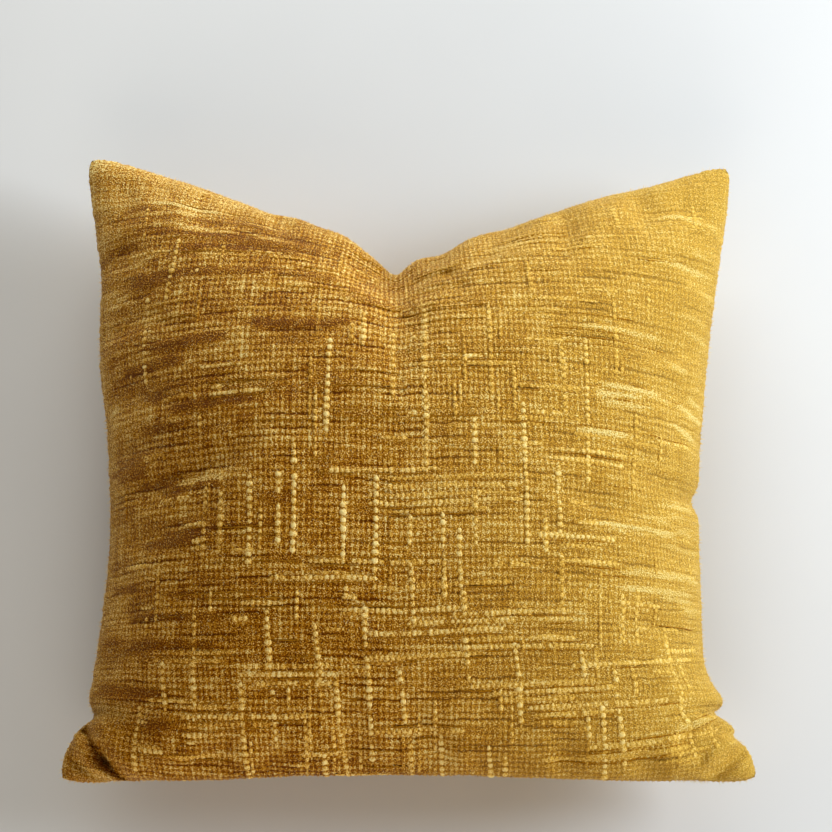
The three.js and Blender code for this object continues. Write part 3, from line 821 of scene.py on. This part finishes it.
def make_cover(front, back, material, rng):
    thin = [
        (s0, t0, s1, t1, WEFT_HALF_WIDTH, light)
        for s0, t0, s1, t1, light, is_beaded, *_ in WEFT_YARNS if not is_beaded
    ]
    weave, weave_behind = Weave(FLOATS + thin + PALE_FLOATS, rng), Weave([], rng)
    coarse = (slice(2, -2, 2), slice(2, -2, 2))
    top = front.ground + front.normal * weave.relief(rng)[..., None]
    under = back.ground + back.normal * rng.normal(0, FUZZ_HEIGHT, top.shape[:2])[..., None]
    under = under[coarse]
    under[..., 2] = np.maximum(under[..., 2], 0)
    points = np.concatenate([top.reshape(-1, 3), under.reshape(-1, 3)])
    looks = {}
    for key, values, behind in zip(("threads", "yarns"), weave.looks(), weave_behind.looks()):
        looks[key] = np.concatenate([values.reshape(-1, 3), behind[coarse].reshape(-1, 3)])
    return new_piece("cover", points, cover_faces(), looks, material)


# Thick yarns that lie on the weave

class Yarns:
    """Many tubes on one panel, gathered into one mesh. Each ring of a tube lies flat on the cloth."""

    def __init__(self, panels, rng):
        self.panels, self.rng = panels, rng
        self.points, self.threads, self.light, self.faces = [], [], [], []
        self.count = 0

    def lay(self, side, line, half_width, height, light, ring=RING):
        """line is points (s, t) along the yarn. The other values are one for each point of the line."""
        s, t = line[:, 0], line[:, 1]
        run = np.gradient(line, axis=0)
        run /= np.linalg.norm(run, axis=1, keepdims=True)
        across = ring[:, 0] * half_width[:, None]
        place_s = s[:, None] - run[:, 1:] * across
        place_t = t[:, None] + run[:, :1] * across
        lift = ring[:, 1] * height[:, None] - SINK
        lift = lift * (1 + self.rng.normal(0, YARN_FUZZ, lift.shape))
        points = self.panels[side].place(place_s, place_t, lift)
        points[..., 2] = np.maximum(points[..., 2], 0)
        n, m = points.shape[:2]
        index = self.count + np.arange(n * m).reshape(n, m)
        following = np.roll(index, -1, axis=1)
        sides = np.stack([index[:-1], index[1:], following[1:], following[:-1]], -1).reshape(-1, 4)
        turn = -1 if side else 1
        self.faces += sides[:, ::turn].tolist() + [index[0][::turn].tolist(), index[-1][::-turn].tolist()]
        self.points.append(points.reshape(-1, 3))
        self.threads.append(np.stack([place_s, place_t, np.zeros_like(place_s)], -1).reshape(-1, 3))
        # The ring's light share paints shade on the yarn's flanks
        self.light.append((light[:, None] * ring[:, 2]).ravel())
        self.count += n * m

    def piece(self, name, material):
        attributes = {"threads": np.concatenate(self.threads), "light": np.concatenate(self.light)}
        return new_piece(name, np.concatenate(self.points), self.faces, attributes, material)


def grow_pile(front, back, material, rng):
    """Short fibres all over the front and near the seam of the back, each a thin closed spike."""
    total = FIBRES + FIBRES_BEHIND
    s, t = rng.uniform(-HALF_CLOTH, HALF_CLOTH, (2, total))
    near_seam = HALF_CLOTH - np.abs(rng.normal(0, BEHIND_SPREAD, FIBRES_BEHIND))
    turned = rng.integers(0, 2, FIBRES_BEHIND).astype(bool)
    side = rng.choice([-1, 1], FIBRES_BEHIND) * near_seam
    s[FIBRES:][turned] = side[turned]
    t[FIBRES:][~turned] = side[~turned]
    lean = rng.normal(0, FIBRE_LEAN, (total, 3))
    near = np.clip(1 - (HALF_CLOTH - np.maximum(np.abs(s), np.abs(t))) / LONGER_RIM, 0, 1)[:, None]
    length = rng.uniform(*FIBRE_LENGTH, (total, 1)) * (1 + LONGER_PILE * near)
    spin = rng.uniform(0, 2 * math.pi, (total, 1)) + np.arange(FIBRE_SIDES) * 2 * math.pi / FIBRE_SIDES
    points = []
    for panel, part in ((front, slice(0, FIBRES)), (back, slice(FIBRES, total))):
        root = panel.place(s[part], t[part], np.zeros_like(s[part]))
        normal = panel.place(s[part], t[part], np.ones_like(s[part])) - root
        outward = root * (1, 1, 0)
        outward /= np.maximum(np.linalg.norm(outward, axis=1, keepdims=True), 1)
        direction = normal + lean[part] + near[part] * outward
        direction += np.maximum(0, LEAST_RISE - np.sum(direction * normal, 1, keepdims=True)) * normal
        direction /= np.linalg.norm(direction, axis=1, keepdims=True)
        across = np.cross(direction, SKEW_DIRECTION)
        across /= np.linalg.norm(across, axis=1, keepdims=True)
        other = np.cross(direction, across)
        cosine, sine = np.cos(spin[part])[..., None], np.sin(spin[part])[..., None]
        ring = FIBRE_RADIUS * (cosine * across[:, None] + sine * other[:, None])
        points.append(np.concatenate([root[:, None] + ring, (root + direction * length[part])[:, None]], 1))
    points = np.concatenate(points)
    corner = (FIBRE_SIDES + 1) * np.arange(total)[:, None, None]
    faces = (corner + np.array([(0, 2, 1), (0, 1, 3), (1, 2, 3), (2, 0, 3)])).reshape(-1, 3)
    places = np.repeat(np.stack([s, t, np.zeros_like(s)], -1), FIBRE_SIDES + 1, axis=0)
    # Painted highlight: fibres near the rim lighter
    light = np.repeat(rng.uniform(*FIBRE_LIGHT, total) + RIM_PAINTED_HIGHLIGHT * near[:, 0], FIBRE_SIDES + 1)
    points[..., 2] = np.maximum(points[..., 2], 0)
    looks = {"threads": places, "light": light}
    return new_piece("pile", points.reshape(-1, 3), faces.tolist(), looks, material)


def stations(start, end, step, wander, rng):
    """Points from start to end, about a step apart, that wander a little to either side."""
    start, end = np.array(start, float), np.array(end, float)
    length = np.linalg.norm(end - start)
    count = max(FEWEST_STEPS, round(length / step))
    share = np.linspace(0, 1, count + 1)
    side = np.array([-(end - start)[1], (end - start)[0]]) / length
    phase = rng.uniform(0, 2 * math.pi, len(WANDER_REACHES))
    sway = sum(np.sin(share * length / reach + p) for reach, p in zip(WANDER_REACHES, phase))
    return start + share[:, None] * (end - start) + wander * sway[:, None] * side, share * length


def beaded(yarns, side, start, end, light, pitch, half_width, form, rng):
    """A yarn that shows as a chain of beads, with a dip between each two, darkened there with painted shade.
    """
    height, dip, sharpness = form
    line, run = stations(start, end, pitch / STATIONS_A_BEAD, BEAD_WANDER, rng)
    number = (run / pitch).astype(int)
    swell = dip + (1 - dip) * np.abs(np.sin(math.pi * (run / pitch - number))) ** sharpness
    strong, large, there = rng.uniform(0, 1, (3, number.max() + 1))[:, number]
    strong = LEAST_LIGHT + (1 - LEAST_LIGHT) * strong
    sunk = SINKING * (0.5 + 0.5 * np.sin(run / SINKING_REACH + rng.uniform(0, ANY_PHASE)))
    size = (LEAST_SIZE + SIZE_SPREAD * large) * (1 - sunk)
    shown = np.where(there < MISSING_BEADS, MISSING_SIZE, 1.0) * swell
    ends = np.minimum(1, np.minimum(run, run[-1] - run) / pitch + END_SIZE)
    width = half_width * size * (LEAST_WIDTH + (1 - LEAST_WIDTH) * swell) * ends
    # Its light falls with the swell: painted shade in the dip between beads
    yarns.lay(side, line, width, height * size * shown * ends, light * strong * shown)


def groove(yarns, side, start, end, rng):
    """The painted shadow line where two thick wefts press together: a thin dark strip laid deep between them.
    """
    line, run = stations(start, end, GROOVE_STEP, GROOVE_WANDER, rng)
    taper = np.clip(np.minimum(run, run[-1] - run) / GROOVE_TAPER, GROOVE_END, 1)
    uneven = 1 + GROOVE_UNEVEN * np.sin(run / GROOVE_WAVE + rng.uniform(0, ANY_PHASE))
    height, light = np.full_like(run, GROOVE_HEIGHT), np.ones_like(run)
    yarns.lay(side, line, GROOVE_HALF_WIDTH * taper * uneven, height, light, THIN_RING)


def lay_yarns(warps, wefts, grooves, rng):
    """The front's own yarns, from the tables."""
    for s0, t0, s1, t1, light, pitch in WARP_YARNS:
        beaded(warps, 0, (s0, t0), (s1, t1), WARP_LIGHT * light, pitch, WARP_HALF_WIDTH, WARP_FORM, rng)
    for s0, t0, s1, t1, light, is_beaded, above, below in WEFT_YARNS:
        if is_beaded:
            beaded(wefts, 0, (s0, t0), (s1, t1), light, BEAD_WIDTH, WEFT_HALF_WIDTH, WEFT_FORM, rng)
        for is_there, gap in ((above, WEFT_GAP), (below, -WEFT_GAP)):
            if is_there:
                groove(grooves, 0, (s0, t0 + gap), (s1, t1 + gap), rng)
    for s0, t0, s1, t1 in GROOVES:
        groove(grooves, 0, (s0, t0), (s1, t1), rng)
    for side, share in ((0, 1), (1, BACK_SHARE)):
        lay_minor(warps, wefts, grooves, side, share, rng)


def lay_minor(warps, wefts, grooves, side, share, rng):
    """Short weaker yarns at random places of the weave, a share of the full counts."""
    def ends(along, lengths):
        reach = rng.uniform(*lengths)
        slope = rng.normal(0, MINOR_SLOPE)
        s, t = rng.uniform(-MINOR_REACH, MINOR_REACH, 2)
        s, t = BEAD_WIDTH * round(s / BEAD_WIDTH), BEAD_HEIGHT * round(t / BEAD_HEIGHT)
        if along:
            s = min(s, MINOR_REACH - reach)
            return (s, t), (s + reach, t + reach * slope)
        t = max(t, reach - MINOR_REACH)
        return (s, t), (s + reach * slope, t - reach)

    for _ in range(int(MINOR_WEFTS * share)):
        pitch = BEAD_WIDTH * (DASH_BEADS if rng.random() < DASHES else 1)
        start, end = ends(True, MINOR_WEFT_LENGTH)
        light = rng.uniform(*MINOR_LIGHT)
        beaded(wefts, side, start, end, light, pitch, MINOR_HALF_WIDTH, WEFT_FORM, rng)
    for _ in range(int(MINOR_WARPS * share)):
        start, end = ends(False, MINOR_WARP_LENGTH)
        light = rng.uniform(*MINOR_LIGHT)
        beaded(warps, side, start, end, light, BEAD_HEIGHT, MINOR_HALF_WIDTH, WARP_FORM, rng)
    for _ in range(int(MINOR_GROOVES * share)):
        (s0, t0), (s1, t1) = ends(True, MINOR_GROOVE_LENGTH)
        groove(grooves, side, (s0, t0 + BEAD_HEIGHT / 2), (s1, t1 + BEAD_HEIGHT / 2), rng)


# Materials

def colour(red, green, blue):
    """A colour as seen on screen, 0 to 255, as the linear one that shaders take."""
    def to_linear(c):
        return c / 255 / 12.92 if c < 10.3 else ((c / 255 + 0.055) / 1.055) ** 2.4

    return (*(to_linear(c) for c in (red, green, blue)), 1)


def add(tree, kind, inputs=None, output=0, **settings):
    """Adds a node, sets or links its inputs by name or number, and returns one of its outputs."""
    node = tree.nodes.new(kind)
    for key, value in settings.items():
        setattr(node, key, value)
    for key, value in (inputs or {}).items():
        if isinstance(value, bpy.types.NodeSocket):
            tree.links.new(value, node.inputs[key])
        else:
            node.inputs[key].default_value = value
    return node.outputs[output]


# Shades by tone, and the painted light that makes them paler and calmer from the middle of the cover to its
# right side
CLOTH_SHADES = [
    (0.08, colour(94, 40, 0)), (0.33, colour(160, 93, 0)), (0.58, colour(214, 158, 40)),
    (0.88, colour(252, 234, 162)),
]
YARN_SHADES = [
    (0.0, colour(100, 50, 0)), (0.28, colour(164, 102, 4)), (0.56, colour(230, 182, 76)),
    (0.88, colour(254, 232, 160)),
]
# Shades of the groove strips, which are painted shadow
GROOVE_SHADOW_SHADES = [(0.5, colour(84, 46, 0)), (0.9, colour(122, 76, 4)), (1.0, colour(170, 116, 20))]
FLOOR_SHADES = [(0.3, colour(216, 218, 220)), (0.7, colour(222, 224, 226))]
PAINTED_LIGHT_SHADE = colour(226, 198, 90)
PAINTED_LIGHT_FROM = -20.0
PAINTED_LIGHT_SHARE = 0.4
PAINTED_LIGHT_CONTRAST = 0.75
MIDDLE_TONE = 0.46
# The shine that all share, with golden tints
CLOTH_ROUGHNESS = 0.5
SHINE = {
    "Specular IOR Level": 0.25, "Specular Tint": colour(255, 200, 60), "Sheen Roughness": 0.45,
    "Sheen Tint": colour(255, 212, 100),
}
# The tone of the base weave: beads by column and row, light on top and dark in the gaps between, partly the
# yarns' own shade and partly painted shade; gaps, fuzz, broad patches and the level of all
COLUMN_TONE = 0.12
ROW_TONE = 0.11
GAP_FROM = 0.3
FUZZ_TONE = 1.9
SMOOTH_FUZZ = 0.5
PATCH_TONE = 0.18
BASE_TONE = 0.365
# Noises, by place on the cloth in mm: the waver of the bead pattern, the fuzz and the patches. The floor's
# grain goes by place in metres
WAVER = 3.0
WAVER_NOISE = {"Scale": 0.11, "Detail": 2.0}
FUZZ_NOISE = {"Scale": 1.0, "Detail": 1.0, "Roughness": 0.8}
PATCH_NOISE = {"Scale": 0.02, "Detail": 2.0}
FLOOR_NOISE = {"Scale": 30.0, "Detail": 4.0}
BUMP_DISTANCE = 0.0012
CLOTH_BUMP = 0.7
YARN_BUMP = 0.6


def maths(tree, operation, *values):
    return add(tree, "ShaderNodeMath", dict(enumerate(values)), operation=operation)


def ramp(tree, factor, stops):
    """A colour ramp, with stops as (place, colour)."""
    out = add(tree, "ShaderNodeValToRGB", {"Fac": factor})
    elements = out.node.color_ramp.elements
    while len(elements) < len(stops):
        elements.new(0.5)
    for element, (place, shade) in zip(elements, stops):
        element.position = place
        element.color = shade
    return out


def read(tree, name, output="Vector"):
    """A point attribute of the mesh."""
    return add(tree, "ShaderNodeAttribute", output=output, attribute_name=name)


def part_of(tree, vector, axis):
    return add(tree, "ShaderNodeSeparateXYZ", {"Vector": vector}, axis)


def new_material(name, sheen, roughness=CLOTH_ROUGHNESS):
    material = bpy.data.materials.new(name)
    material.use_nodes = True
    tree = material.node_tree
    shader = tree.nodes["Principled BSDF"]
    for key, value in {"Roughness": roughness, "Sheen Weight": sheen, **SHINE}.items():
        shader.inputs[key].default_value = value
    return material, tree, shader


def surface(tree, shader, shade, height, strength):
    bump = add(tree, "ShaderNodeBump", {"Height": height, "Strength": strength, "Distance": BUMP_DISTANCE})
    tree.links.new(shade, shader.inputs["Base Color"])
    tree.links.new(bump, shader.inputs["Normal"])


def with_painted_light(tree, threads, tone, stops):
    """The shade for a tone, with painted light: paler and calmer towards the cover's right side, where the
    light falls.
    """
    across = part_of(tree, threads, "X")

    def rightwards(low, high):
        return add(tree, "ShaderNodeMapRange", {
            "Value": across, "From Min": PAINTED_LIGHT_FROM, "From Max": HALF_CLOTH, "To Min": low, "To Max": high,
        })

    off_middle = maths(tree, "SUBTRACT", tone, MIDDLE_TONE)
    calmer = maths(tree, "MULTIPLY_ADD", off_middle, rightwards(1.0, PAINTED_LIGHT_CONTRAST), MIDDLE_TONE)
    # Painted light: the shade is mixed towards a pale one towards the right side
    painted_light_mix = {"Fac": rightwards(0.0, PAINTED_LIGHT_SHARE), "Color1": ramp(tree, calmer, stops), "Color2": PAINTED_LIGHT_SHADE}
    return add(tree, "ShaderNodeMixRGB", painted_light_mix)


def chenille():
    """The base weave: a light bead on each crossing, dark gaps partly painted shade, fuzzy speckle and yarn
    by yarn shades.
    """
    material, tree, shader = new_material("chenille_weave", 0.1)
    threads = read(tree, "threads")
    waver = add(tree, "ShaderNodeTexNoise", {"Vector": threads, **WAVER_NOISE}, "Color")
    waver = add(tree, "ShaderNodeVectorMath", {0: waver, 1: (-0.5, -0.5, -0.5)}, operation="ADD")
    waver = add(tree, "ShaderNodeVectorMath", {0: waver, "Scale": WAVER}, operation="SCALE")
    place = add(tree, "ShaderNodeVectorMath", {0: threads, 1: waver}, operation="ADD")
    across, upward = part_of(tree, place, "X"), part_of(tree, place, "Y")
    column = maths(tree, "COSINE", maths(tree, "MULTIPLY", across, 2 * math.pi / BEAD_WIDTH))
    row = maths(tree, "COSINE", maths(tree, "MULTIPLY", upward, 2 * math.pi / BEAD_HEIGHT))
    yarns = read(tree, "yarns")
    shift, groove, smooth = (part_of(tree, yarns, axis) for axis in "XYZ")
    bead = maths(tree, "MULTIPLY_ADD", row, ROW_TONE, maths(tree, "MULTIPLY", column, COLUMN_TONE))
    bead = maths(tree, "MULTIPLY", bead, maths(tree, "SUBTRACT", 1.0, smooth))
    # Painted shade in the grooves between some rows of beads
    gap = maths(tree, "MAXIMUM", maths(tree, "SUBTRACT", maths(tree, "MULTIPLY", row, -1.0), GAP_FROM), 0.0)
    gap = maths(tree, "MULTIPLY", maths(tree, "MULTIPLY", gap, groove), GROOVE_PAINTED_SHADE)
    fuzz = add(tree, "ShaderNodeTexNoise", {"Vector": threads, **FUZZ_NOISE})
    patch = add(tree, "ShaderNodeTexNoise", {"Vector": threads, **PATCH_NOISE})
    rough = maths(tree, "MULTIPLY_ADD", smooth, SMOOTH_FUZZ, FUZZ_TONE)
    height = maths(tree, "MULTIPLY_ADD", maths(tree, "SUBTRACT", fuzz, 0.5), rough, bead)
    tone = maths(tree, "SUBTRACT", maths(tree, "ADD", height, shift), gap)
    tone = maths(tree, "ADD", tone, maths(tree, "MULTIPLY", patch, PATCH_TONE))
    shade = with_painted_light(tree, threads, maths(tree, "ADD", tone, BASE_TONE), CLOTH_SHADES)
    surface(tree, shader, shade, height, CLOTH_BUMP)
    return material


def yarn_stuff(name, sheen, speckle, stops, has_painted_light=True):
    """A yarn's shade from its light, with fuzzy speckle over it, and painted light towards the right side
    when asked.
    """
    material, tree, shader = new_material(name, sheen)
    threads, light = read(tree, "threads"), read(tree, "light", "Fac")
    fuzz = maths(tree, "SUBTRACT", add(tree, "ShaderNodeTexNoise", {"Vector": threads, **FUZZ_NOISE}), 0.5)
    tone = maths(tree, "ADD", light, maths(tree, "MULTIPLY", fuzz, speckle))
    shade = with_painted_light(tree, threads, tone, stops) if has_painted_light else ramp(tree, tone, stops)
    surface(tree, shader, shade, fuzz, YARN_BUMP)
    return material


# The floor: cells a side, half width and level. Then the world's light, and each light's place, size, power
FLOOR_CELLS = 40
FLOOR_HALF_WIDTH = 6000
FLOOR_LEVEL = -0.4
FLOOR_ROUGHNESS = 0.8
WORLD_COLOUR = (1.0, 0.88, 0.72, 1)
WORLD_STRENGTH = 0.165
LIGHT_TARGET = (0, 0, 0.07)
LIGHTS = [
    ("key", (1.5, 0.3, 0.75), 0.9, 31.5, (0.93, 1.0, 1.07)),
    ("top", (-0.15, 1.7, 0.5), 1.2, 31, (0.97, 1.0, 0.98)),
    ("fill", (-0.2, -1.7, 0.9), 1.4, 15.5, (1.0, 0.89, 0.75)),
]


def make_floor():
    """A wide pale floor, with its far edges out of every view."""
    ticks = np.linspace(-FLOOR_HALF_WIDTH, FLOOR_HALF_WIDTH, FLOOR_CELLS + 1)
    x, y = np.meshgrid(ticks, ticks)
    points = np.stack([x, y, np.full_like(x, FLOOR_LEVEL)], -1).reshape(-1, 3)
    index = np.arange(x.size).reshape(x.shape)
    faces = np.stack([index[:-1, :-1], index[:-1, 1:], index[1:, 1:], index[1:, :-1]], -1).reshape(-1, 4)
    mesh = bpy.data.meshes.new("floor")
    mesh.from_pydata((points * MM).tolist(), [], faces.tolist())
    material, tree, shader = new_material("pale_floor", 0.0, FLOOR_ROUGHNESS)
    shade = ramp(tree, add(tree, "ShaderNodeTexNoise", FLOOR_NOISE), FLOOR_SHADES)
    tree.links.new(shade, shader.inputs["Base Color"])
    mesh.materials.append(material)
    floor = bpy.data.objects.new("floor", mesh)
    bpy.context.scene.collection.objects.link(floor)


def add_light(name, place, size, power, tint):
    light = bpy.data.lights.new(name, "AREA")
    light.shape = "DISK"
    light.size = size
    light.energy = power
    light.color = tint
    lamp = bpy.data.objects.new(name, light)
    lamp.location = place
    lamp.rotation_euler = (Vector(LIGHT_TARGET) - lamp.location).to_track_quat("-Z", "Y").to_euler()
    bpy.context.scene.collection.objects.link(lamp)


def light_the_studio():
    world = bpy.data.worlds.new("studio")
    bpy.context.scene.world = world
    world.use_nodes = True
    background = world.node_tree.nodes["Background"]
    background.inputs["Color"].default_value = WORLD_COLOUR
    background.inputs["Strength"].default_value = WORLD_STRENGTH
    for light in LIGHTS:
        add_light(*light)
    bpy.context.scene.view_settings.view_transform = "Standard"


def set_camera():
    """The camera stands off the cushion's face by the photograph's angle, on the side of its bottom edge."""
    data = bpy.data.cameras.new("camera")
    data.sensor_width = SENSOR_WIDTH
    data.lens = CAMERA_LENS
    camera = bpy.data.objects.new("camera", data)
    tilt = math.radians(CAMERA_TILT)
    back = Vector((0, -math.sin(tilt), math.cos(tilt)))
    target = Vector(CAMERA_TARGET) * MM
    camera.location = target + back * CAMERA_DISTANCE * MM
    camera.rotation_euler = (-back).to_track_quat("-Z", "Y").to_euler()
    bpy.context.scene.collection.objects.link(camera)
    bpy.context.scene.camera = camera


rng = np.random.default_rng(SEED)
set_camera()
make_floor()
light_the_studio()
front, back = Panel(front_point, 1), Panel(back_point, -1)
settle(front, back)
cover = make_cover(front, back, chenille(), rng)
warps, wefts, grooves = (Yarns([front, back], rng) for _ in range(3))
lay_yarns(warps, wefts, grooves, rng)
yarn = yarn_stuff("slub_yarn", sheen=0.15, speckle=1.7, stops=YARN_SHADES)
warps.piece("slub_warps", yarn)
wefts.piece("slub_wefts", yarn)
# The groove strips: dark strips that stand for the shadow between wefts, painted shade
dark = yarn_stuff("painted_groove_shadow", sheen=0.1, speckle=1.2, stops=GROOVE_SHADOW_SHADES, has_painted_light=False)
grooves.piece("groove_shadow_strips", dark)
grow_pile(front, back, yarn_stuff("pile_fibre", sheen=0.15, speckle=0.4, stops=YARN_SHADES), rng)

bpy.context.view_layer.update()
